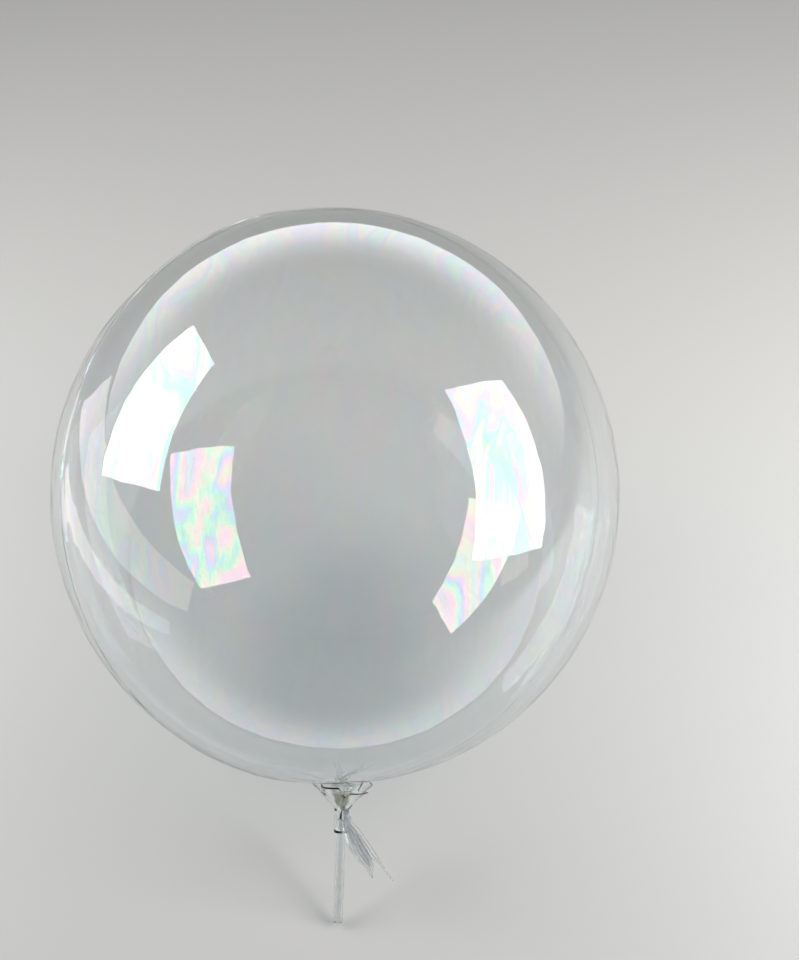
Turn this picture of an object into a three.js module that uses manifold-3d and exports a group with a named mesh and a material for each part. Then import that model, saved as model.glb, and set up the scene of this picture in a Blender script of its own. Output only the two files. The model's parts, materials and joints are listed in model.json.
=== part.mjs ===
// Clear bubble balloon on a petalled cup and a tube stick, lying on its side at rest.
// A sealed ball of welded film gathers into a knotted neck that sits in the funnel of the cup.
// The crinkled tail of the film leaves through a window in the cup's socket.
// Units are millimetres. The balloon is built upright about its own centre, then laid down.

import * as THREE from 'three';
import { mergeVertices } from 'three/addons/utils/BufferGeometryUtils.js';
import Module from 'manifold-3d';

// ---- Driving dimensions ----

const ballRadius = 225;
const ballStretch = 1.012; // height of the ball over its width
const flatSpotRadius = 30; // where the ball rests on the floor
const touchGap = 0.3; // kept between pieces that touch

const seamTurn = THREE.MathUtils.degToRad(20); // the seam's plane, turned about the neck's axis
const seamWidth = 3.2;
const seamHeight = 0.6;

const neckShift = 4.8; // the neck leaves the ball a little to one side
const neckShiftReach = 60; // radius inside which the film is drawn over to it
const neckRadius = 6.2;
const neckTop = -229.5;
const knotTop = -238;
const knotRadius = 6.6;
const knotEnd = -247.6;
const neckPleats = 11;
const pleatReach = 34;
const pleatDepth = 0.11; // share of the neck's radius

const cupRimDrop = 229.4; // the cup's rim plane, below the ball's centre
const cupRimRadius = 24.5;
const cupWall = 1.1;
const cupLean = THREE.MathUtils.degToRad(1.9);
const petalCount = 6;
const firstNotch = THREE.MathUtils.degToRad(-26);
const notchHalfWidth = 4.6; // at the rim
const notchRoot = 12; // radius where a notch ends
const droopPetal = THREE.MathUtils.degToRad(-56); // one petal is bent down
const droopSpread = THREE.MathUtils.degToRad(30);
const droopDrop = 4.6;

const socketTop = -21; // heights in the cup's own frame, from its rim plane
const socketBottom = -39;
const socketRadius = 5.75;
const boreRadius = 4.15;
const windowTop = -16.6;
const windowBottom = -27.5;
const windowHalfWidth = 3.7;
const windowTurn = THREE.MathUtils.degToRad(-48);

const stickRadius = boreRadius - touchGap;
const stickBore = 2.2;
const stickTop = -28.2;
const stickBottom = -110.6;

const tailFall = THREE.MathUtils.degToRad(55.7); // how steeply the tail hangs
const tailStart = new THREE.Vector3(9.9, -9.6, -254.7); // upper edge, where it clears the socket
const tailLength = 62;
const tailTop = 1.6; // upper edge, across the tail
const tailWidth = 15;
const tailFolds = 4;
const tailFoldDepth = 1.4;
const tailFilm = 1.2;

// ---- Solids ----

const wasm = await Module();
wasm.setup();

function toSolid(geometry) {
  const bare = geometry.clone();
  bare.deleteAttribute('normal');
  bare.deleteAttribute('uv');
  const welded = mergeVertices(bare, 1e-4);
  const corners = welded.index.array;
  const kept = [];
  for (let i = 0; i < corners.length; i += 3) {
    const [a, b, c] = [corners[i], corners[i + 1], corners[i + 2]];
    if (a !== b && b !== c && c !== a) kept.push(a, b, c);
  }
  return new wasm.Manifold(new wasm.Mesh({
    numProp: 3,
    vertProperties: Float32Array.from(welded.attributes.position.array),
    triVerts: Uint32Array.from(kept),
  }));
}

function toGeometry(solid) {
  const { vertProperties, triVerts } = solid.getMesh();
  const geometry = new THREE.BufferGeometry();
  geometry.setAttribute('position', new THREE.BufferAttribute(vertProperties, 3));
  geometry.setIndex(new THREE.BufferAttribute(triVerts, 1));
  geometry.computeVertexNormals();
  return geometry;
}

// A profile of [radius, height] pairs, from the bottom up the outside, turned about +Z.
function turned(profile, segments) {
  const points = profile.map(([radius, height]) => new THREE.Vector2(radius, height));
  return new THREE.LatheGeometry(points, segments).rotateX(Math.PI / 2);
}

function moveVertices(geometry, move) {
  const position = geometry.attributes.position;
  const point = new THREE.Vector3();
  for (let i = 0; i < position.count; i++) {
    point.fromBufferAttribute(position, i);
    move(point);
    position.setXYZ(i, point.x, point.y, point.z);
  }
  return geometry;
}

// ---- Balloon: one welded film piece, sealed at the knot ----

function ballHeight(radius) {
  return -ballStretch * Math.sqrt(ballRadius ** 2 - radius ** 2);
}

function filmProfile() {
  const profile = [
    [0, knotEnd],
    [knotRadius * 0.45, knotEnd + 0.5],
    [knotRadius * 0.66, knotEnd + 3.2],
    [knotRadius, knotTop],
    [neckRadius * 0.86, knotTop + 3],
  ];
  // The neck opens into the ball through a short flare.
  const flareRadius = 20;
  const flare = new THREE.QuadraticBezierCurve(
    new THREE.Vector2(neckRadius, neckTop - 3),
    new THREE.Vector2(neckRadius + 1, neckTop + 1.4),
    new THREE.Vector2(flareRadius, ballHeight(flareRadius)),
  );
  for (const point of flare.getPoints(4)) profile.push([point.x, point.y]);

  const rings = 30;
  const flareAngle = Math.asin(flareRadius / ballRadius);
  for (let i = 1; i <= rings; i++) {
    const angle = flareAngle + (Math.PI - flareAngle) * (i / rings);
    const radius = i === rings ? 0 : ballRadius * Math.sin(angle);
    profile.push([radius, -ballRadius * ballStretch * Math.cos(angle)]);
  }
  return profile;
}

function pleatAndShift(point) {
  const radius = Math.hypot(point.x, point.y);
  if (point.z < 0 && radius > 0) {
    const near = 1 - THREE.MathUtils.smoothstep(radius, neckRadius, pleatReach);
    const around = Math.atan2(point.y, point.x);
    const fold = 1 + pleatDepth * near * Math.cos(neckPleats * around);
    point.x *= fold;
    point.y *= fold;
  }
  if (point.z < 0) {
    const drawn = 1 - THREE.MathUtils.smoothstep(radius, neckRadius, neckShiftReach);
    point.x += neckShift * drawn;
  }
}

// The weld where the two discs of film meet: a low flat bead on a great circle through the neck.
function seamBead() {
  const inner = ballRadius - 4;
  const outer = ballRadius + seamHeight;
  const half = seamWidth / 2;
  const section = [
    [inner, -half],
    [ballRadius + 0.1, -half],
    [outer, -half * 0.3],
    [outer, half * 0.3],
    [ballRadius + 0.1, half],
    [inner, half],
    [inner, -half],
  ];
  const bead = turned(section, 72)
    .rotateX(Math.PI / 2)
    .rotateZ(seamTurn)
    .scale(1, 1, ballStretch);
  // It sinks into the film before it reaches the neck.
  return moveVertices(bead, (point) => {
    const fromAxis = Math.hypot(point.x, point.y);
    if (point.z < 0 && fromAxis < neckShiftReach) point.multiplyScalar(0.985);
  });
}

// The tail is built flat: X runs down its length, Y through its folds and Z across it.
function tailSheet() {
  const folds = tailFolds * 2;
  const steps = 12;
  const positions = [];
  for (let i = 0; i <= steps; i++) {
    const along = (i / steps) * tailLength;
    const spread = THREE.MathUtils.smoothstep(along, -6, 22);
    for (const side of [-1, 1]) {
      for (let j = 0; j <= folds; j++) {
        const across = tailTop - tailWidth * (j / folds);
        const zigzag = (j % 2 ? 1 : -1) * tailFoldDepth * (0.45 + 0.55 * spread);
        const sway = 1.2 * Math.sin(along / 13 + j * 0.35);
        positions.push(along, zigzag + sway + side * tailFilm / 2, across);
      }
    }
  }
  const row = folds + 1;
  const index = [];
  const quad = (a, b, c, d) => index.push(a, c, b, a, d, c);
  for (let i = 0; i < steps; i++) {
    const low = i * 2 * row;
    const next = low + 2 * row;
    for (let j = 0; j < folds; j++) {
      quad(low + j, next + j, next + j + 1, low + j + 1);
      quad(low + row + j, low + row + j + 1, next + row + j + 1, next + row + j);
    }
    quad(low, low + row, next + row, next);
    quad(low + folds, next + folds, next + row + folds, low + row + folds);
  }
  for (let j = 0; j < folds; j++) {
    const end = steps * 2 * row;
    quad(j, j + 1, row + j + 1, row + j);
    quad(end + j, end + row + j, end + row + j + 1, end + j + 1);
  }
  const sheet = new THREE.BufferGeometry();
  sheet.setAttribute('position', new THREE.Float32BufferAttribute(positions, 3));
  sheet.setIndex(index);
  return sheet;
}

// The tail's outline, with the zigzag cut of its open end: a long thin tip and a broad one.
function tailOutline() {
  const outline = new THREE.Shape([
    [0, 1.5],
    [tailLength * 0.72, 1.4],
    [tailLength, 0.4],
    [tailLength * 0.73, -0.9],
    [tailLength * 0.53, -4.2],
    [tailLength * 0.7, -6],
    [tailLength * 0.82, -11],
    [tailLength * 0.66, -11.8],
    [tailLength * 0.52, -11.2],
    [tailLength * 0.44, -12.8],
    [tailLength * 0.24, -13.2],
    [tailLength * 0.1, -6],
    [0, -4],
  ].map(([along, across]) => new THREE.Vector2(along, across)));
  const depth = 12;
  return new THREE.ExtrudeGeometry(outline, { depth, bevelEnabled: false })
    .translate(0, 0, -depth / 2)
    .rotateX(Math.PI / 2);
}

// The gathered film between the knot and the tail, round the edge of the window.
function tailRoot() {
  const route = new THREE.CatmullRomCurve3([
    new THREE.Vector3(neckShift - 0.3, 0, knotEnd + 0.8),
    new THREE.Vector3(neckShift + 1.6, -2.1, knotEnd - 2),
    new THREE.Vector3(neckShift + 3.8, -4.9, knotEnd - 4.8),
    new THREE.Vector3(neckShift + 5.2, -8, knotEnd - 8.6),
    tailStart.clone().add(new THREE.Vector3(0.9, 0.3, -6.6)),
  ]);
  const section = new THREE.Shape(new THREE.EllipseCurve(0, 0, 1.4, 1.9).getPoints(10).slice(0, 10));
  return new THREE.ExtrudeGeometry(section, { extrudePath: route, steps: 10, bevelEnabled: false });
}

function balloonSolid() {
  const film = moveVertices(turned(filmProfile(), 54), pleatAndShift);
  const tail = toSolid(tailSheet()).intersect(toSolid(tailOutline()));
  const placedTail = toGeometry(tail)
    .rotateY(tailFall)
    .translate(tailStart.x, tailStart.y, tailStart.z);
  return toSolid(film)
    .add(toSolid(seamBead()))
    .add(toSolid(tailRoot()))
    .add(toSolid(placedTail));
}

// ---- Cup: a clear moulded funnel of petals over a socket ----

function cupSolid() {
  const flare = new THREE.QuadraticBezierCurve(
    new THREE.Vector2(socketRadius, socketTop),
    new THREE.Vector2(12.5, -12),
    new THREE.Vector2(cupRimRadius, 0),
  );
  const outside = flare.getPoints(6).map((point) => [point.x, point.y]);
  const inside = outside.slice(1).reverse().map(([radius, height]) => {
    return [Math.max(radius - cupWall * 0.7, boreRadius), height + cupWall * 0.75];
  });
  const profile = [
    [boreRadius, socketBottom],
    [socketRadius + 0.25, socketBottom],
    [socketRadius, socketBottom + 4],
    ...outside,
    ...inside,
    [boreRadius, socketTop + 2.4],
    [boreRadius, socketBottom],
  ];
  let cup = toSolid(turned(profile, 60));

  for (let i = 0; i < petalCount; i++) {
    const notch = new THREE.Shape();
    notch.moveTo(notchRoot, 0);
    notch.quadraticCurveTo(notchRoot + 6, -0.8, cupRimRadius - 1, -notchHalfWidth * 0.7);
    notch.lineTo(cupRimRadius + 4, -notchHalfWidth * 2);
    notch.lineTo(cupRimRadius + 4, notchHalfWidth * 2);
    notch.lineTo(cupRimRadius - 1, notchHalfWidth * 0.7);
    notch.quadraticCurveTo(notchRoot + 6, 0.8, notchRoot, 0);
    const cutter = new THREE.ExtrudeGeometry(notch, { depth: 40, bevelEnabled: false, curveSegments: 4 })
      .translate(0, 0, -30)
      .rotateZ(firstNotch + (i * 2 * Math.PI) / petalCount);
    cup = cup.subtract(toSolid(cutter));
  }

  const windowCutter = new THREE.BoxGeometry(
    cupRimRadius,
    windowHalfWidth * 2,
    windowTop - windowBottom,
  )
    .translate(cupRimRadius / 2, 0, (windowTop + windowBottom) / 2)
    .rotateZ(windowTurn);
  cup = cup.subtract(toSolid(windowCutter));

  // One petal is bent down and out from its root.
  const bent = moveVertices(toGeometry(cup), (point) => {
    const radius = Math.hypot(point.x, point.y);
    const turn = Math.abs(Math.atan2(point.y, point.x) - droopPetal);
    if (turn < droopSpread && radius > notchRoot) {
      const share = (radius - notchRoot) / (cupRimRadius - notchRoot);
      point.z -= droopDrop * share ** 1.5;
      point.x *= 1 + 0.06 * share;
    }
  });
  return toSolid(bent);
}

// ---- Stick: a clear tube pushed into the socket ----

function stickGeometry() {
  const profile = [
    [stickBore, stickBottom],
    [stickRadius, stickBottom],
    [stickRadius, stickTop],
    [stickBore, stickTop],
    [stickBore, stickBottom],
  ];
  return turned(profile, 24);
}

// ---- Resting pose ----

// The ball rests on its flat spot and the stick's end touches the floor: the tilt of the neck's
// axis below the horizontal follows from both, found in a few passes because the ball is
// slightly taller than wide.
function restingPose() {
  const reach = cupRimDrop + Math.cos(cupLean) * -stickBottom;
  let tilt = Math.asin(ballRadius / reach);
  let rest = ballRadius;
  for (let pass = 0; pass < 12; pass++) {
    const support = ballRadius * Math.hypot(Math.cos(tilt), ballStretch * Math.sin(tilt));
    rest = support - (ballRadius - Math.sqrt(ballRadius ** 2 - flatSpotRadius ** 2));
    tilt = Math.asin(rest / Math.hypot(reach, stickRadius)) - Math.atan2(stickRadius, reach);
  }
  return { tilt, rest };
}

// ---- Assembly ----

const clearFilm = new THREE.MeshStandardMaterial({
  color: 0xe9eef0,
  roughness: 0.05,
  metalness: 0,
  transparent: true,
  opacity: 0.35,
});
const clearCup = new THREE.MeshStandardMaterial({
  color: 0xf2f4f4,
  roughness: 0.12,
  metalness: 0,
  transparent: true,
  opacity: 0.6,
});
const clearTube = new THREE.MeshStandardMaterial({
  color: 0xeef2f4,
  roughness: 0.1,
  metalness: 0,
  transparent: true,
  opacity: 0.6,
});

const pose = restingPose();
const layDown = pose.tilt - Math.PI / 2;

// The flat spot is cut square to the floor's direction, in the upright balloon's own frame.
const floorBlock = new THREE.BoxGeometry(ballRadius * 2, ballRadius * 2, ballRadius)
  .translate(0, 0, -pose.rest - ballRadius / 2)
  .rotateX(-layDown);

const balloon = new THREE.Mesh(toGeometry(balloonSolid().subtract(toSolid(floorBlock))), clearFilm);
balloon.name = 'balloon';

const cup = new THREE.Mesh(toGeometry(cupSolid()), clearCup);
cup.name = 'cup';

const stick = new THREE.Mesh(stickGeometry(), clearTube);
stick.name = 'stick';

const holder = new THREE.Group();
holder.position.set(neckShift + 0.4, 0, -cupRimDrop);
holder.rotation.y = cupLean;
holder.add(cup, stick);

const upright = new THREE.Group();
upright.rotation.x = layDown;
upright.add(balloon, holder);

const model = new THREE.Group();
model.add(upright);
model.updateMatrixWorld(true);
const extent = new THREE.Box3().setFromObject(model, true);
const middle = extent.getCenter(new THREE.Vector3());
model.position.set(-middle.x, -middle.y, -extent.min.z);

export default model;
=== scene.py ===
# Clear bubble balloon on a petalled cup and a tube stick, lying on its side on a pale floor.
# The sections follow the object as it is put together: the blown film, its knot and tail,
# the cup that the neck sits in, and the stick that carries the cup.

import json
import math

import bpy
import numpy as np
from mathutils import Matrix, Vector, noise


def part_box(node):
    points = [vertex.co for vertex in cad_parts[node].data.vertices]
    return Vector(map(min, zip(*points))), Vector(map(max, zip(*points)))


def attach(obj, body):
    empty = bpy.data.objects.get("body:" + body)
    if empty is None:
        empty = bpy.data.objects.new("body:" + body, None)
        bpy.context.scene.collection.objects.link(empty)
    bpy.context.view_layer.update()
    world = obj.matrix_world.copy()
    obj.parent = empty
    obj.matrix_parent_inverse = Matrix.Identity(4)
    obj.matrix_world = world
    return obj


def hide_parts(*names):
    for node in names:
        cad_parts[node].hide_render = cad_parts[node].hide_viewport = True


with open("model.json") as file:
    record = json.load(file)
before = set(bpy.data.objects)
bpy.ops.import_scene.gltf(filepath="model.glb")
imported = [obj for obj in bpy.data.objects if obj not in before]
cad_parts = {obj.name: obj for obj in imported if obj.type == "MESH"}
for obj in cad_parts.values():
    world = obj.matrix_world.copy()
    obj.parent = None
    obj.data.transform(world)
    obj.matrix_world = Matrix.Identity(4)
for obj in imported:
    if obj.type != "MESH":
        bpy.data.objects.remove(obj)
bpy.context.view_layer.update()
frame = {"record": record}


# ---- Where the balloon lies ----
# The stick's end is a mount of the frame, so the line of the stick and the middle of the ball
# follow from it. The ball was blown upright about its own middle and then laid down, so its
# pieces are made in that upright frame: Z towards the top of the ball, the neck below.

MM = 0.001
BALL_RADIUS = 225 * MM
BALL_STRETCH = 1.012
NECK_SHIFT = 4.8 * MM
CUP_SHIFT = 5.2 * MM
CUP_RIM_DROP = 229.4 * MM
STICK_RADIUS = 3.85 * MM
STICK_END = 110.6 * MM

mounts = {mount["name"]: mount for mount in frame["record"]["mounts"]}
stick_way = Vector(mounts["stick_end"]["axis"]).normalized()
neck_way = Vector((0, stick_way.y, stick_way.z)).normalized()

stick_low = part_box("stick")[0]
end_spread = [STICK_RADIUS * math.sqrt(1 - part * part) for part in stick_way]
stick_end = stick_low + Vector(end_spread)
cup_rim = stick_end - stick_way * STICK_END
across = Vector((1, 0, 0))
ball_middle = cup_rim - across * CUP_SHIFT - neck_way * CUP_RIM_DROP


def frame_of(middle, side, up):
    """The matrix that takes a piece from its own upright frame to where it lies."""
    turn = Matrix((side, up.cross(side), up)).transposed().to_4x4()
    return Matrix.Translation(middle) @ turn


ball_frame = frame_of(ball_middle, across, -neck_way)
cup_side = (across - stick_way * across.dot(stick_way)).normalized()
cup_frame = frame_of(cup_rim, cup_side, -stick_way)


# ---- Camera ----
# It looks down square to the neck, so that the neck runs to the foot of the view, from seven
# ball radii away, and it is aimed a little beside the ball.

VIEW_DISTANCE = 7 * BALL_RADIUS
VIEW_LENS = 74.0
AIM_RIGHT = math.radians(1.84)
AIM_UP = math.radians(0.45)

view_way = Vector(ball_frame.col[1][:3])
camera_data = bpy.data.cameras.new("camera")
camera_data.lens = VIEW_LENS
camera = bpy.data.objects.new("camera", camera_data)
bpy.context.scene.collection.objects.link(camera)
camera.matrix_world = (
    frame_of(ball_middle - view_way * VIEW_DISTANCE, across, -view_way)
    @ Matrix.Rotation(-AIM_RIGHT, 4, "Y")
    @ Matrix.Rotation(AIM_UP, 4, "X")
)
bpy.context.scene.camera = camera


# ---- Film ----
# Two discs of soft clear film, welded round their rims and blown up with air until they are
# almost round. The weld is a low double bead with fine puckers beside it, and the film is
# drawn together in pleats where it enters the neck.

FILM_THICK = 0.35 * MM
FLARE_RADIUS = 34 * MM
NECK_RADIUS = 6.0 * MM
NECK_END = 244.5 * MM
SEAM_TURN = math.radians(20.3)
SEAM_BOW = 0.074  # radians that both sides of the weld lean to the front

WELD_SWELL = 1.0 * MM
WELD_SWELL_REACH = 13 * MM
BEAD_HEIGHT = 0.70 * MM
BEAD_HALF_WIDTH = 0.9 * MM
SIDE_BEAD_HEIGHT = 0.35 * MM
SIDE_BEAD_HALF_WIDTH = 0.8 * MM
SIDE_BEAD_AWAY = 5 * MM
PUCKER_DEPTH = 0.16 * MM
PUCKER_REACH = 16 * MM
WAVE_DEPTH = 0.10 * MM
WAVE_LENGTH = 17 * MM
WAVE_REACH = 34 * MM

PLEAT_DEPTH = 0.17  # share of the neck's radius
PLEATS = ((0.62, 11, 0.7), (0.38, 7, 2.1), (0.30, 17, 4.0))  # share, number round the neck, phase
CREASES = (  # direction in degrees, reach and depth in millimetres
    (-95, 105, 0.8),
    (-48, 60, 0.9),
    (-132, 48, 0.6),
    (20, 70, 0.6),
    (75, 90, 0.7),
    (150, 62, 0.6),
)
CREASE_HALF_WIDTH = 2.2 * MM
SPOT_EDGE = 0.5 * MM  # height over which the ball bends into its flat spot
SPOT_SETTLE = 0.9  # share of that height it settles through

QUARTER_COLUMNS = 30
BALL_ROWS = 330
FLARE_ROWS = 22


def grid_faces(rows, columns, offset=0, closed=True, flip=False):
    """Quads between neighbouring rows of points; closed joins the last column to the first."""
    faces = []
    for i in range(rows - 1):
        for j in range(columns if closed else columns - 1):
            k = (j + 1) % columns
            quad = (i * columns + j, i * columns + k, (i + 1) * columns + k, (i + 1) * columns + j)
            quad = tuple(offset + corner for corner in quad)
            faces.append(quad[::-1] if flip else quad)
    return faces


def add_mesh(name, points, faces, place):
    """A smooth-shaded mesh object whose points are moved to where the piece lies."""
    mesh = bpy.data.meshes.new(name)
    mesh.from_pydata([place @ Vector(point) for point in points], [], faces)
    mesh.shade_smooth()
    piece = bpy.data.objects.new(name, mesh)
    bpy.context.scene.collection.objects.link(piece)
    return piece


def smoothstep(value, low, high):
    share = np.clip((value - low) / (high - low), 0, 1)
    return share * share * (3 - 2 * share)


def noise_at(points, scale, seed):
    """Perlin noise of about -1 to 1 at each point, with features of the given size."""
    shift = Vector((seed * 17.3, seed * 5.1, seed * 9.7))
    flat = points.reshape(-1, 3)
    values = [noise.noise(Vector(point) / scale + shift) for point in flat]
    return np.array(values).reshape(points.shape[:-1])


# The columns of the grid crowd towards the weld, which lies on two opposite meridians.
quarter = (math.pi / 2) * (np.arange(QUARTER_COLUMNS) / QUARTER_COLUMNS) ** 2
half = np.concatenate([quarter, [math.pi / 2], (math.pi - quarter[1:])[::-1]])
turns = np.concatenate([half, half + math.pi]) + SEAM_TURN + math.pi
turns = turns - SEAM_BOW * np.cos(turns - SEAM_TURN)
columns = len(turns)

# The profile runs from the neck's end, up the flare and over the ball to its top.
flare_angle = math.asin(FLARE_RADIUS / BALL_RADIUS)
ball_angles = np.linspace(flare_angle, math.pi, BALL_ROWS)
ball_profile = np.stack([np.sin(ball_angles), -BALL_STRETCH * np.cos(ball_angles)], 1) * BALL_RADIUS
flare_start = ball_profile[0]
curve = [
    np.array([NECK_RADIUS * 0.84, -NECK_END]),
    np.array([NECK_RADIUS * 1.06, -NECK_END + 11 * MM]),
    np.array([NECK_RADIUS * 1.5, -228.6 * MM]),
    flare_start,
]
shares = (np.arange(FLARE_ROWS) / FLARE_ROWS)[:, None]
flare_profile = (
    curve[0] * (1 - shares) ** 3
    + 3 * curve[1] * shares * (1 - shares) ** 2
    + 3 * curve[2] * shares ** 2 * (1 - shares)
    + curve[3] * shares ** 3
)
profile = np.concatenate([flare_profile, ball_profile[:-1]])
rows = len(profile)
radius = np.repeat(profile[:, :1], columns, 1)
height = np.repeat(profile[:, 1:], columns, 1)
turn = np.repeat(turns[None, :], rows, 0)
film = np.stack([radius * np.cos(turn), radius * np.sin(turn), height], 2)
ball_normal = film / np.linalg.norm(film, axis=2, keepdims=True)

# Pleats at the neck: deep where the film is gathered, gone a few centimetres up the ball.
gather = 1 - smoothstep(radius, NECK_RADIUS, 40 * MM)
pleats = sum(share * np.cos(number * turn + phase) for share, number, phase in PLEATS)
pleat_depth = PLEAT_DEPTH * gather ** 1.6 * pleats * np.minimum(radius, 16 * MM)
film[..., 0] += pleat_depth * np.cos(turn)
film[..., 1] += pleat_depth * np.sin(turn)

# Long creases run up the ball from the gathered neck.
for crease_turn, crease_reach, crease_depth in CREASES:
    from_crease = turn - math.radians(crease_turn)
    beside = np.abs((from_crease + math.pi) % (2 * math.pi) - math.pi) * radius
    fade = (1 - smoothstep(radius, 10 * MM, crease_reach * MM)) * (height < 0)
    groove = np.exp(-(beside / CREASE_HALF_WIDTH) ** 2)
    film -= ball_normal * (crease_depth * MM * fade * groove)[..., None]

# The weld: a crease with two fine beads, wandering slightly, and puckers that fade from it.
weld_side = np.array([math.cos(SEAM_TURN), math.sin(SEAM_TURN), 0])
weld_normal = np.array([-math.sin(SEAM_TURN), math.cos(SEAM_TURN), 0])
along_weld = np.arctan2(film @ weld_side, film[..., 2])
wander = 0.5 * MM * (
    np.sin(5 * along_weld + 1) + np.sin(13 * along_weld) + 0.5 * np.sin(29 * along_weld)
)
signed = film @ weld_normal + SEAM_BOW * radius + wander
beside = np.abs(signed)
clear_of_neck = smoothstep(radius, 12 * MM, 46 * MM) + (height > 0)
clear_of_neck = np.clip(clear_of_neck, 0, 1)
patches = 0.5 + 0.5 * np.sin(3.3 * along_weld + 0.4) * np.sin(7.1 * along_weld + 2)
puckers = (
    np.sin(96 * along_weld + 3 * np.sin(5 * along_weld))
    + 0.6 * np.sin(151 * along_weld + 2 * np.sin(9 * along_weld))
)
waves = np.cos(signed * 2 * math.pi / WAVE_LENGTH + 2 * np.sin(2 * along_weld))
lift = (
    WELD_SWELL * np.exp(-beside / WELD_SWELL_REACH)
    + BEAD_HEIGHT * np.exp(-(beside / BEAD_HALF_WIDTH) ** 2)
    + SIDE_BEAD_HEIGHT * np.exp(-((beside - SIDE_BEAD_AWAY) / SIDE_BEAD_HALF_WIDTH) ** 2)
    + PUCKER_DEPTH * puckers * patches * np.exp(-beside / PUCKER_REACH)
    + WAVE_DEPTH * waves * np.exp(-beside / WAVE_REACH)
)
film += ball_normal * (lift * clear_of_neck)[..., None]

# The ball is slightly uneven all over, as soft film is.
swell = noise_at(film, 130 * MM, 1) * 0.5 * MM + noise_at(film, 45 * MM, 2) * 0.09 * MM
film += ball_normal * (swell * smoothstep(radius, 20 * MM, 60 * MM))[..., None]

# The neck leaves the ball a little to one side.
drawn = (1 - smoothstep(radius, NECK_RADIUS, 60 * MM)) * (height < 0)
film[..., 0] += NECK_SHIFT * drawn

# The floor presses a small flat spot.
floor_way = np.array((ball_frame.to_3x3().transposed() @ Vector((0, 0, -1)))[:])
depth = film @ floor_way
bend_depth = ball_middle.z - SPOT_EDGE
over = np.clip(depth - bend_depth, 0, None)
settled = bend_depth + SPOT_EDGE * (1 - np.exp(-over / SPOT_EDGE)) * SPOT_SETTLE
film += floor_way * (np.where(depth > bend_depth, settled, depth) - depth)[..., None]

# The inner face runs a film's thickness inside the outer one, and both meet at the neck's end.
down_rows = np.gradient(film, axis=0)
round_columns = np.roll(film, -1, axis=1) - np.roll(film, 1, axis=1)
inward = np.cross(down_rows, round_columns)
inward /= np.linalg.norm(inward, axis=2, keepdims=True)
if (inward[rows // 2, 0] @ film[rows // 2, 0]) > 0:
    inward = -inward
inner = film + inward * FILM_THICK

top = np.array([0, 0, BALL_RADIUS * BALL_STRETCH + 0.6 * MM])
points = np.concatenate([
    film.reshape(-1, 3), inner.reshape(-1, 3), [top, top - [0, 0, FILM_THICK]],
])
count = rows * columns
faces = grid_faces(rows, columns)
faces += grid_faces(rows, columns, offset=count, flip=True)
last = (rows - 1) * columns
for j in range(columns):
    k = (j + 1) % columns
    faces.append((last + j, last + k, 2 * count))
    faces.append((count + last + k, count + last + j, 2 * count + 1))
    faces.append((j, count + j, count + k, k))
film_ball = add_mesh("film_ball", points, faces, ball_frame)


def linear(hex_colour):
    """An sRGB hex colour as linear RGBA."""
    parts = [int(hex_colour[i:i + 2], 16) / 255 for i in (1, 3, 5)]
    return tuple(p / 12.92 if p <= 0.04045 else ((p + 0.055) / 1.055) ** 2.4 for p in parts) + (1,)


def add_node(tree, kind, inputs=None, **settings):
    """Adds one node with its settings; inputs gives sockets their values or links."""
    node = tree.nodes.new(kind)
    for name, value in settings.items():
        setattr(node, name, value)
    for socket, value in (inputs or {}).items():
        if isinstance(value, bpy.types.NodeSocket):
            tree.links.new(value, node.inputs[socket])
        else:
            node.inputs[socket].default_value = value
    return node


def new_material(name):
    material = bpy.data.materials.new(name)
    material.use_nodes = True
    material.node_tree.nodes.clear()
    return material


def finish_clear(tree, shader, shade_tint):
    """Lets light through a clear piece to what is behind it, a little darker than it came."""
    path = add_node(tree, "ShaderNodeLightPath")
    shade = add_node(tree, "ShaderNodeBsdfTransparent", {"Color": linear(shade_tint)})
    shadow = add_node(tree, "ShaderNodeMixShader", {
        0: path.outputs["Is Shadow Ray"], 1: shader, 2: shade.outputs[0],
    })
    bounce = add_node(tree, "ShaderNodeMixShader", {
        0: path.outputs["Is Diffuse Ray"], 1: shadow.outputs[0], 2: shade.outputs[0],
    })
    add_node(tree, "ShaderNodeOutputMaterial", {"Surface": bounce.outputs[0]})


# Soft PVC film: clear and glossy, with a faint pastel sheen where its skin varies in thickness.
STREAK_SIZE = (35 * MM, 90 * MM, 150 * MM)
RIPPLE_SIZE = 22 * MM
RIPPLE_DEPTH = 0.3 * MM
film_material = new_material("blown_pvc_film")
tree = film_material.node_tree
place = add_node(tree, "ShaderNodeTexCoord")
streaks = add_node(tree, "ShaderNodeMapping", {
    "Vector": place.outputs["Object"],
    "Rotation": (0.7, 0.2, 0.4),
    "Scale": tuple(1 / size for size in STREAK_SIZE),
})
skin = add_node(tree, "ShaderNodeTexNoise", {
    "Vector": streaks.outputs[0], "Scale": 1.0, "Detail": 3.0, "Roughness": 0.55, "Distortion": 0.8,
})
skin_thick = add_node(tree, "ShaderNodeMapRange", {
    "Value": skin.outputs["Fac"], "From Min": 0.25, "From Max": 0.75, "To Min": 250.0, "To Max": 900.0,
})
ripple = add_node(tree, "ShaderNodeTexNoise", {
    "Vector": place.outputs["Object"], "Scale": 1 / RIPPLE_SIZE, "Detail": 1.0,
})
ripple_bump = add_node(tree, "ShaderNodeBump", {
    "Height": ripple.outputs["Fac"], "Strength": 0.25, "Distance": RIPPLE_DEPTH,
})
film_shader = add_node(tree, "ShaderNodeBsdfPrincipled", {
    "Base Color": linear("#f6f8f9"),
    "Roughness": 0.012,
    "IOR": 1.53,
    "Transmission Weight": 1.0,
    "Thin Film Thickness": skin_thick.outputs[0],
    "Thin Film IOR": 1.42,
    "Normal": ripple_bump.outputs[0],
})
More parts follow.
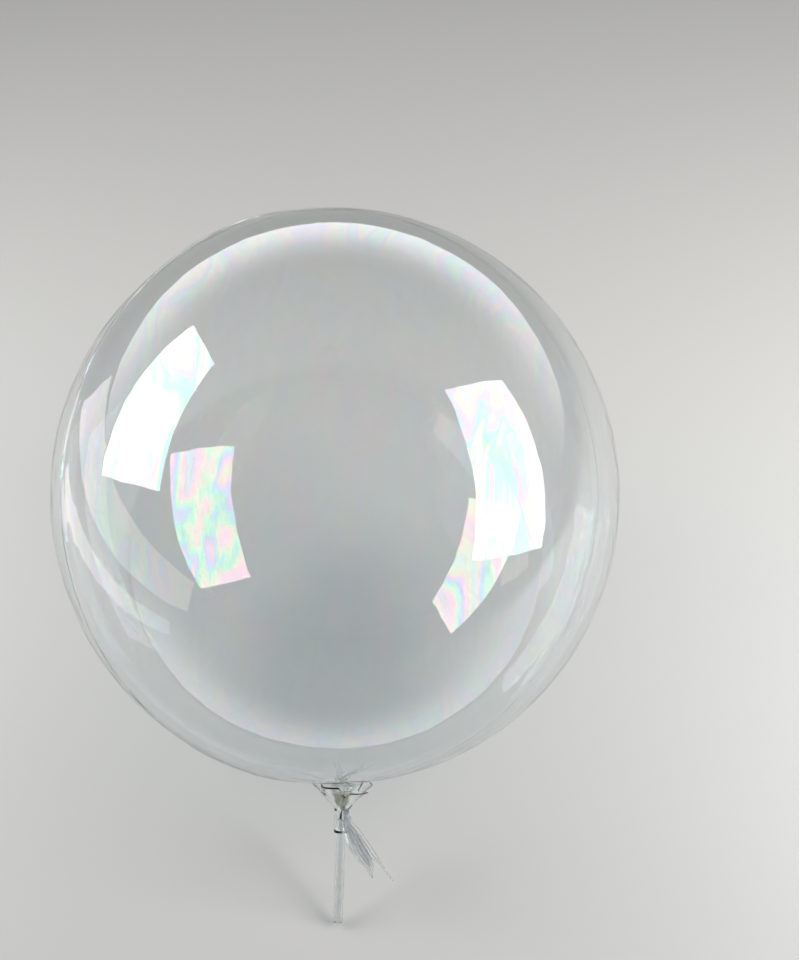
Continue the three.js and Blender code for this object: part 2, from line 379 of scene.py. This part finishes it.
finish_clear(tree, film_shader.outputs[0], "#f4f6f7")
film_ball.data.materials.append(film_material)
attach(film_ball, "root")
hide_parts("balloon")


# ---- Knot and tail ----
# The neck is pulled tight in the throat of the cup, where its many layers look creamy, and the
# rest of it leaves through the cup's window as a crumpled tail. Its open end was cut in points.

TAIL_FALL = math.radians(55.7)
TAIL_START = np.array([9.9, -9.6, -254.7]) * MM
TAIL_FILM = 0.22 * MM
tail_way = np.array([math.cos(TAIL_FALL), 0, -math.sin(TAIL_FALL)])
tail_across = np.array([math.sin(TAIL_FALL), 0, math.cos(TAIL_FALL)])
fold_way = np.array([0, 1.0, 0])


def two_faced(outer, thickness, closed):
    """The points and faces of a shell: a grid, its copy set back by thickness, and its edges."""
    rows, columns = outer.shape[:2]
    along = np.gradient(outer, axis=0)
    if closed:
        around = np.roll(outer, -1, axis=1) - np.roll(outer, 1, axis=1)
    else:
        around = np.gradient(outer, axis=1)
    normal = np.cross(around, along)
    normal /= np.maximum(np.linalg.norm(normal, axis=2, keepdims=True), 1e-12)
    back = outer - normal * thickness
    count = rows * columns
    faces = grid_faces(rows, columns, closed=closed)
    faces += grid_faces(rows, columns, offset=count, closed=closed, flip=True)
    spans = columns if closed else columns - 1
    for j in range(spans):
        k = (j + 1) % columns
        faces.append((k, j, count + j, count + k))
        far = count - columns
        faces.append((far + j, far + k, count + far + k, count + far + j))
    if not closed:
        for i in range(rows - 1):
            low, next_low = i * columns, (i + 1) * columns
            faces.append((low, next_low, count + next_low, count + low))
            low, next_low = low + columns - 1, next_low + columns - 1
            faces.append((next_low, low, count + low, count + next_low))
    return np.concatenate([outer.reshape(-1, 3), back.reshape(-1, 3)]), faces


def zigzag(value):
    """A triangle wave from -1 to 1."""
    return 2 * np.abs(2 * (value - np.floor(value + 0.5))) - 1


# Where the tail's middle runs before it clears the socket: from the throat through the window.
ROOT_STOPS = np.array([-13, -8, -3, 3, 9])
ROOT_ROUTE = np.array([
    [4.5, 0.0, -245.5],
    [5.6, -2.0, -249.0],
    [8.6, -5.0, -252.2],
    [10.6, -8.0, -256.6],
    [11.4, -9.6, -263.4],
]) * MM

# Each strip of film, in millimetres: stops down its run, its upper and lower edge at each stop,
# the number and depth of its folds, and how far it is set before or behind the others.
TAIL_STRIPS = (
    {
        "stops": (-13, -8, -3, 8, 20, 32, 43, 50.5),
        "upper": (2, 2, 2, -0.5, -1.4, -3.2, -5.6, -11.2),
        "lower": (-2, -2, -4, -9, -13.0, -12.6, -11.4, -11.7),
        "folds": 3.5, "depth": 1.3, "set": 0.0, "seed": 3,
    },
    {
        "stops": (-13, -8, -3, 10, 22, 36, 45, 62),
        "upper": (2, 2, 2.5, 1.6, 1.6, 1.5, 1.4, 0.6),
        "lower": (-2, -2, -2, -3.8, -5.0, -4.2, -0.9, 0.3),
        "folds": 2.5, "depth": 0.9, "set": -1.2, "seed": 5,
    },
    {
        "stops": (-13, -8, -3, 8, 18, 30, 38, 42),
        "upper": (1, 1, 1, -1.5, -2.5, -3.6, -5.5, -8.0),
        "lower": (-2, -2, -2.5, -7, -9.5, -10.0, -9.2, -8.4),
        "folds": 2.5, "depth": 1.1, "set": 1.6, "seed": 7,
    },
    {
        "stops": (-3, 4, 12, 18, 24, 30, 34),
        "upper": (-2, -3, -7.5, -9.5, -10.4, -11, -12.3),
        "lower": (-4, -7, -12.8, -13.9, -13.8, -13.2, -12.6),
        "folds": 1.5, "depth": 0.8, "set": -2.0, "seed": 11,
    },
)
STRIP_STEPS = 110
STRIP_COLUMNS = 34


def tail_strip(name, strip):
    stops = np.array(strip["stops"])
    run = np.linspace(stops[0], stops[-1], STRIP_STEPS)
    upper = np.interp(run, stops, strip["upper"])
    lower = np.interp(run, stops, strip["lower"])
    share = np.linspace(0, 1, STRIP_COLUMNS)
    width = upper[:, None] * (1 - share) + lower[:, None] * share
    straight = TAIL_START + run[:, None] * MM * tail_way - 5 * MM * tail_across
    curved = np.stack([np.interp(run, ROOT_STOPS, ROOT_ROUTE[:, k]) for k in range(3)], 1)
    clear = smoothstep(run, 3, 11)[:, None]
    middle = curved * (1 - clear) + straight * clear
    open_out = smoothstep(run, -6, 14)[:, None]
    sheet = middle[:, None, :] + ((width + 5 * clear) * MM)[..., None] * tail_across
    lean = 0.25 * np.sin(run / 9 + strip["seed"])[:, None]
    fold = zigzag(share[None, :] * strip["folds"] + lean) * strip["depth"] * MM
    fold = fold * (0.35 + 0.65 * open_out) * smoothstep(run, stops[-1] + 6, stops[-1] - 14)[:, None]
    crumple = noise_at(sheet, 5.5 * MM, strip["seed"]) * 0.9 * MM
    crumple = crumple + noise_at(sheet, 2.4 * MM, strip["seed"] + 1) * 0.3 * MM
    crease = np.abs(noise_at(sheet, 7 * MM, strip["seed"] + 2)) * 1.2 * MM
    away = (fold + (crumple - crease) * (0.3 + 0.7 * open_out)) + strip["set"] * MM * open_out
    sheet = sheet + away[..., None] * fold_way
    points, faces = two_faced(sheet, TAIL_FILM, closed=False)
    return add_mesh(name, points, faces, ball_frame)


# Film seen through many layers: creamy in the throat, clear again in the tail.
WRINKLE_SIZE = 3 * MM
WRINKLE_DEPTH = 0.4 * MM


def film_layers_material(name, colour, roughness, transmission):
    material = new_material(name)
    tree = material.node_tree
    place = add_node(tree, "ShaderNodeTexCoord")
    wrinkle = add_node(tree, "ShaderNodeTexNoise", {
        "Vector": place.outputs["Object"], "Scale": 1 / WRINKLE_SIZE, "Detail": 3.0,
    })
    wrinkle_bump = add_node(tree, "ShaderNodeBump", {
        "Height": wrinkle.outputs["Fac"], "Strength": 0.5, "Distance": WRINKLE_DEPTH,
    })
    shader = add_node(tree, "ShaderNodeBsdfPrincipled", {
        "Base Color": linear(colour),
        "Roughness": roughness,
        "IOR": 1.53,
        "Transmission Weight": transmission,
        "Normal": wrinkle_bump.outputs[0],
    })
    finish_clear(tree, shader.outputs[0], "#e9ebec")
    return material


tail_material = film_layers_material("crumpled_pvc_film", "#f8fafb", 0.03, 0.92)
for number, strip in enumerate(TAIL_STRIPS, 1):
    piece = tail_strip(f"tail_strip_{number}", strip)
    piece.data.materials.append(tail_material)
    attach(piece, "root")

# The gathered plug in the throat: sharp pleats that fan out at its top.
PLUG_TOP = 236.5 * MM
PLUG_END = 247.2 * MM
PLUG_COLUMNS = 190
PLUG_ROWS = 26
plug_drop = np.linspace(0, 1, PLUG_ROWS)
plug_radius = np.interp(plug_drop, (0, 0.12, 0.25, 0.6, 0.9, 1), (8.0, 6.6, 5.7, 4.9, 3.8, 0.6)) * MM
plug_turn = np.linspace(0, 2 * math.pi, PLUG_COLUMNS, endpoint=False)
turn_grid = np.repeat(plug_turn[None, :], PLUG_ROWS, 0)
drop_grid = np.repeat(plug_drop[:, None], PLUG_COLUMNS, 1)
fine_pleat = zigzag(turn_grid * 13 / (2 * math.pi) + 0.25 * drop_grid)
broad_pleat = zigzag(turn_grid * 8 / (2 * math.pi))
pleat = fine_pleat * 0.5 + broad_pleat * 0.3
wide = plug_radius[:, None] * (1 + 0.16 * pleat)
tall = -(PLUG_TOP + (PLUG_END - PLUG_TOP) * drop_grid) + 1.3 * MM * pleat * (1 - drop_grid) ** 3
plug = np.stack([wide * np.cos(turn_grid), wide * np.sin(turn_grid), tall], 2)
plug += noise_at(plug, 3 * MM, 4)[..., None] * 0.35 * MM
plug[..., 0] += NECK_SHIFT - 0.2 * MM
points, faces = two_faced(plug[:, ::-1], 0.3 * MM, closed=True)
knot = add_mesh("knot", points, faces, ball_frame)
knot.data.materials.append(film_layers_material("gathered_pvc_film", "#efe9d6", 0.12, 0.75))
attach(knot, "root")


# ---- Cup ----
# A clear polystyrene funnel, injection moulded as six petals over a socket for the stick. The
# petals spread under the ball, and a window in the throat lets the tail of the film out.

SOCKET_RADIUS = 5.75 * MM
BORE_RADIUS = 4.15 * MM
SOCKET_TOP = -21 * MM
SOCKET_BOTTOM = -39 * MM
CUP_RIM_RADIUS = 24.5 * MM
CUP_WALL = 1.1 * MM
PETALS = 6
FIRST_NOTCH = math.radians(-26)
NOTCH_ROOT = 12 * MM
NOTCH_HALF = 4.2 * MM
BENT_PETAL = math.radians(-56)
BENT_SPREAD = math.radians(30)
BENT_DROP = 4.6 * MM

PETAL_COLUMNS = 40
FUNNEL_ROWS = 22
INNER_ROWS = 9

between = np.linspace(-0.5, 0.5, PETAL_COLUMNS, endpoint=False)
between = np.sign(between) * (0.5 - 0.5 * (1 - 2 * np.abs(between)) ** 1.6)
petal_turns = np.concatenate([(between + 0.5 + k) for k in range(PETALS)]) * 2 * math.pi / PETALS
petal_turns = petal_turns + FIRST_NOTCH
from_notch = np.minimum(
    np.tile(between + 0.5, PETALS), np.tile(0.5 - between, PETALS),
) * 2 * math.pi / PETALS
edge = NOTCH_ROOT / np.maximum(1 - from_notch * (CUP_RIM_RADIUS - NOTCH_ROOT) / NOTCH_HALF, 0.05)
corner = 2.4 * MM
gap = np.clip((CUP_RIM_RADIUS - edge) / corner, -3, 3)
edge = CUP_RIM_RADIUS - corner * np.log1p(np.exp(gap * 2)) / 2
edge = np.maximum(edge, NOTCH_ROOT + 0.4 * MM)

radii = []
for i in range(FUNNEL_ROWS):
    if i < INNER_ROWS:
        flat = SOCKET_RADIUS + (NOTCH_ROOT - SOCKET_RADIUS) * (i / INNER_ROWS)
        radii.append(np.full(len(petal_turns), flat))
    else:
        out = (i - INNER_ROWS) / (FUNNEL_ROWS - 1 - INNER_ROWS)
        radii.append(NOTCH_ROOT + (edge - NOTCH_ROOT) * out)
funnel_radius = np.array(radii)


def funnel_height(radius):
    """The height of the flare at a radius, on the same curve as the solid cup."""
    start, bend, end = SOCKET_RADIUS, 12.5 * MM, CUP_RIM_RADIUS
    a = start - 2 * bend + end
    b = 2 * (bend - start)
    t = (-b + np.sqrt(b * b - 4 * a * (start - radius))) / (2 * a)
    return (1 - t) ** 2 * SOCKET_TOP + 2 * t * (1 - t) * (-12 * MM)


funnel_rise = funnel_height(funnel_radius)
petal_turn_grid = np.repeat(petal_turns[None, :], len(funnel_radius), 0)
out = np.clip((funnel_radius - NOTCH_ROOT) / (CUP_RIM_RADIUS - NOTCH_ROOT), 0, 1)
middle_of_petal = np.tile(np.cos(between * 2 * math.pi) * 0.5 + 0.5, PETALS)
funnel_rise = funnel_rise - 0.7 * MM * out ** 2 * middle_of_petal
away_from_bent = np.abs((petal_turn_grid - BENT_PETAL + math.pi) % (2 * math.pi) - math.pi)
bent = np.where(away_from_bent < BENT_SPREAD, out, 0)
funnel_rise = funnel_rise - BENT_DROP * bent ** 1.5
funnel = np.stack([
    funnel_radius * np.cos(petal_turn_grid) * (1 + 0.05 * bent),
    funnel_radius * np.sin(petal_turn_grid),
    funnel_rise,
], 2)

socket_rows = ((0.30, 0.0), (0.0, 0.35), (0.1, 3.0), (0.0, 8.0), (0.0, 14.0), (0.0, 17.0))
socket = []
for inset, rise in socket_rows:
    ring = SOCKET_RADIUS + (0.25 * max(0, 1 - rise / 4) - inset) * MM
    socket.append(np.stack([
        ring * np.cos(petal_turns), ring * np.sin(petal_turns),
        np.full(len(petal_turns), SOCKET_BOTTOM + rise * MM),
    ], 1))
cup_grid = np.concatenate([np.array(socket), funnel])
wall = np.full(len(cup_grid), CUP_WALL)
wall[:len(socket_rows)] = SOCKET_RADIUS - BORE_RADIUS
wall[len(socket_rows)] = 1.4 * MM
wall[-1] = 0.5 * MM
wall[-2] = 0.95 * MM
points, faces = two_faced(cup_grid, wall[:, None, None], closed=True)
cup = add_mesh("cup_body", points, faces, cup_frame)

WINDOW_TURN = math.radians(-48)
WINDOW_HALF = 3.7 * MM
WINDOW_TOP = -16.6 * MM
WINDOW_BOTTOM = -27.5 * MM
window_corners = [
    (x, y, z)
    for x in (1 * MM, 20 * MM)
    for y in (-WINDOW_HALF, WINDOW_HALF)
    for z in (WINDOW_BOTTOM, WINDOW_TOP)
]
window_faces = [(0, 1, 3, 2), (4, 6, 7, 5), (0, 4, 5, 1), (2, 3, 7, 6), (0, 2, 6, 4), (1, 5, 7, 3)]
window_frame = cup_frame @ Matrix.Rotation(WINDOW_TURN, 4, "Z")
cutter = add_mesh("window_cutter", window_corners, window_faces, window_frame)
cut = cup.modifiers.new("window", "BOOLEAN")
cut.object = cutter
cut.operation = "DIFFERENCE"
cut.solver = "EXACT"
settled_cup = cup.evaluated_get(bpy.context.evaluated_depsgraph_get())
cup_mesh = bpy.data.meshes.new_from_object(settled_cup)
cup.modifiers.clear()
cup.data = cup_mesh
bpy.data.objects.remove(cutter)
cup.data.shade_smooth()


def moulded_clear(name, colour, ior, roughness, line_spacing, line_depth):
    """Clear plastic with faint lines from its making, running round or along the piece."""
    material = new_material(name)
    tree = material.node_tree
    place = add_node(tree, "ShaderNodeTexCoord")
    flow = add_node(tree, "ShaderNodeTexNoise", {
        "Vector": place.outputs["Object"], "Scale": 1 / line_spacing, "Detail": 2.0, "Distortion": 0.6,
    })
    lines = add_node(tree, "ShaderNodeBump", {
        "Height": flow.outputs["Fac"], "Strength": 0.35, "Distance": line_depth,
    })
    shader = add_node(tree, "ShaderNodeBsdfPrincipled", {
        "Base Color": linear(colour),
        "Roughness": roughness,
        "IOR": ior,
        "Transmission Weight": 1.0,
        "Normal": lines.outputs[0],
    })
    finish_clear(tree, shader.outputs[0], "#e2e6e8")
    return material


cup.data.materials.clear()
# Polystyrene: hard, glassy and bright at its edges, with faint lines where it flowed in the mould.
cup_material = moulded_clear("moulded_polystyrene", "#fafbfb", 1.58, 0.03, 6 * MM, 0.3 * MM)
cup.data.materials.append(cup_material)
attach(cup, "root")
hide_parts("cup")


# ---- Stick ----
# A clear tube, extruded in PVC and cut square, pushed up into the socket of the cup.

STICK_BORE = 2.2 * MM
STICK_TOP = 28.2 * MM
CHAMFER = 0.25 * MM
tube_profile = [
    (STICK_BORE, -STICK_TOP - CHAMFER), (STICK_BORE + CHAMFER, -STICK_TOP),
    (STICK_RADIUS - CHAMFER, -STICK_TOP), (STICK_RADIUS, -STICK_TOP - CHAMFER),
    (STICK_RADIUS, -STICK_END + CHAMFER), (STICK_RADIUS - CHAMFER, -STICK_END),
    (STICK_BORE + CHAMFER, -STICK_END), (STICK_BORE, -STICK_END + CHAMFER),
]
TUBE_COLUMNS = 64
tube_turns = np.linspace(0, 2 * math.pi, TUBE_COLUMNS, endpoint=False)
tube_points = [
    (r * math.cos(turn), r * math.sin(turn), z)
    for r, z in tube_profile
    for turn in tube_turns
]
tube_faces = []
for i in range(len(tube_profile)):
    low = i * TUBE_COLUMNS
    next_low = ((i + 1) % len(tube_profile)) * TUBE_COLUMNS
    for j in range(TUBE_COLUMNS):
        k = (j + 1) % TUBE_COLUMNS
        tube_faces.append((low + k, low + j, next_low + j, next_low + k))
stick = add_mesh("stick_tube", tube_points, tube_faces, cup_frame)
stick.data.set_sharp_from_angle(angle=math.radians(30))
# Rigid PVC: clear, a little softer in its shine than the cup.
tube_material = moulded_clear("extruded_pvc_tube", "#f6f9fa", 1.54, 0.04, 9 * MM, 0.15 * MM)
stick.data.materials.append(tube_material)
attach(stick, "root")
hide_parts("stick")


# ---- Floor and lights ----
# A plain pale floor, two tall soft windows of light at the sides, two low strips of light by the
# left side of the ball, and a soft glow behind.

FLOOR_HALF = 6.0
FLOOR_DROP = 0.4 * MM
WINDOW_RADIANCE = 8
LOW_STRIP_RADIANCE = 1.0
SIDE_STRIP_RADIANCE = 1.5
STUDIO_DIM = 0.10
STUDIO_GLOW = 2.2

floor_corners = ((-1, -1), (1, -1), (1, 1), (-1, 1))
floor_points = [(x * FLOOR_HALF, y * FLOOR_HALF, 0) for x, y in floor_corners]
floor = add_mesh("floor", floor_points, [(0, 1, 2, 3)], Matrix.Translation((0, 0, -FLOOR_DROP)))
floor_material = new_material("pale_matte_floor")
tree = floor_material.node_tree
floor_shader = add_node(tree, "ShaderNodeBsdfPrincipled", {
    "Base Color": linear("#c9c8c5"), "Roughness": 0.9, "Specular IOR Level": 0.2,
})
add_node(tree, "ShaderNodeOutputMaterial", {"Surface": floor_shader.outputs[0]})
floor.data.materials.append(floor_material)


def add_panel(name, radiance, corners):
    """A rectangular soft light through three corners: top left, top right and bottom left."""
    top_left, top_right, low_left = (Vector(corner) for corner in corners)
    side = top_right - top_left
    rise = top_left - low_left
    out = side.cross(rise)
    if out.dot(ball_middle - top_left) > 0:
        out = -out
    data = bpy.data.lights.new(name, "AREA")
    data.shape = "RECTANGLE"
    data.size = side.length
    data.size_y = rise.length
    data.energy = radiance * math.pi * side.length * rise.length
    panel = bpy.data.objects.new(name, data)
    bpy.context.scene.collection.objects.link(panel)
    middle = (top_right + low_left) / 2
    up = rise.normalized()
    back = out.normalized()
    side_way = up.cross(back)
    turn = Matrix((side_way, up, back)).transposed().to_4x4()
    panel.matrix_world = Matrix.Translation(middle) @ turn
    panel.visible_camera = False


add_panel("window_left", WINDOW_RADIANCE, (
    (-1.052, 0.925, 1.049), (-1.073, 0.471, 1.472), (-1.095, 0.149, 0.215),
))
add_panel("window_right", WINDOW_RADIANCE, (
    (0.900, 0.095, 1.436), (1.366, 0.507, 1.068), (0.884, -0.739, 0.490),
))
add_panel("low_strip", LOW_STRIP_RADIANCE, (
    (-0.60, -0.45, 0.085), (-0.60, 0.50, 0.085), (-0.60, -0.45, 0.004),
))
add_panel("side_strip", SIDE_STRIP_RADIANCE, (
    (-0.60, -0.55, 0.33), (-0.60, 0.35, 0.33), (-0.60, -0.55, 0.17),
))

# The studio round about is dim, with a soft glow low down behind the ball.
world = bpy.data.worlds.new("studio")
world.use_nodes = True
tree = world.node_tree
tree.nodes.clear()
sky = add_node(tree, "ShaderNodeTexCoord")
parts = add_node(tree, "ShaderNodeSeparateXYZ", {"Vector": sky.outputs["Generated"]})
behind = add_node(tree, "ShaderNodeMapRange", {
    "Value": parts.outputs["Y"], "From Min": 0.1, "From Max": 0.9, "To Min": 0.0, "To Max": 1.0,
}, interpolation_type="SMOOTHSTEP")
low = add_node(tree, "ShaderNodeMapRange", {
    "Value": parts.outputs["Z"], "From Min": 0.0, "From Max": 0.55, "To Min": 1.0, "To Max": 0.0,
}, interpolation_type="SMOOTHERSTEP")
glow = add_node(tree, "ShaderNodeMath", {
    0: behind.outputs[0], 1: low.outputs[0],
}, operation="MULTIPLY")
light = add_node(tree, "ShaderNodeMapRange", {
    "Value": glow.outputs[0], "To Min": STUDIO_DIM, "To Max": STUDIO_GLOW,
})
studio = add_node(tree, "ShaderNodeBackground", {
    "Color": linear("#f4f6f8"), "Strength": light.outputs[0],
})
add_node(tree, "ShaderNodeOutputWorld", {"Surface": studio.outputs[0]})
scene = bpy.context.scene
scene.world = world
scene.view_settings.view_transform = "Standard"

# Every wall has two faces, so light crosses many of them on its way through the ball and the cup.
scene.cycles.transparent_max_bounces = 12
scene.cycles.transmission_bounces = 10
scene.cycles.max_bounces = 12
scene.cycles.diffuse_bounces = 2
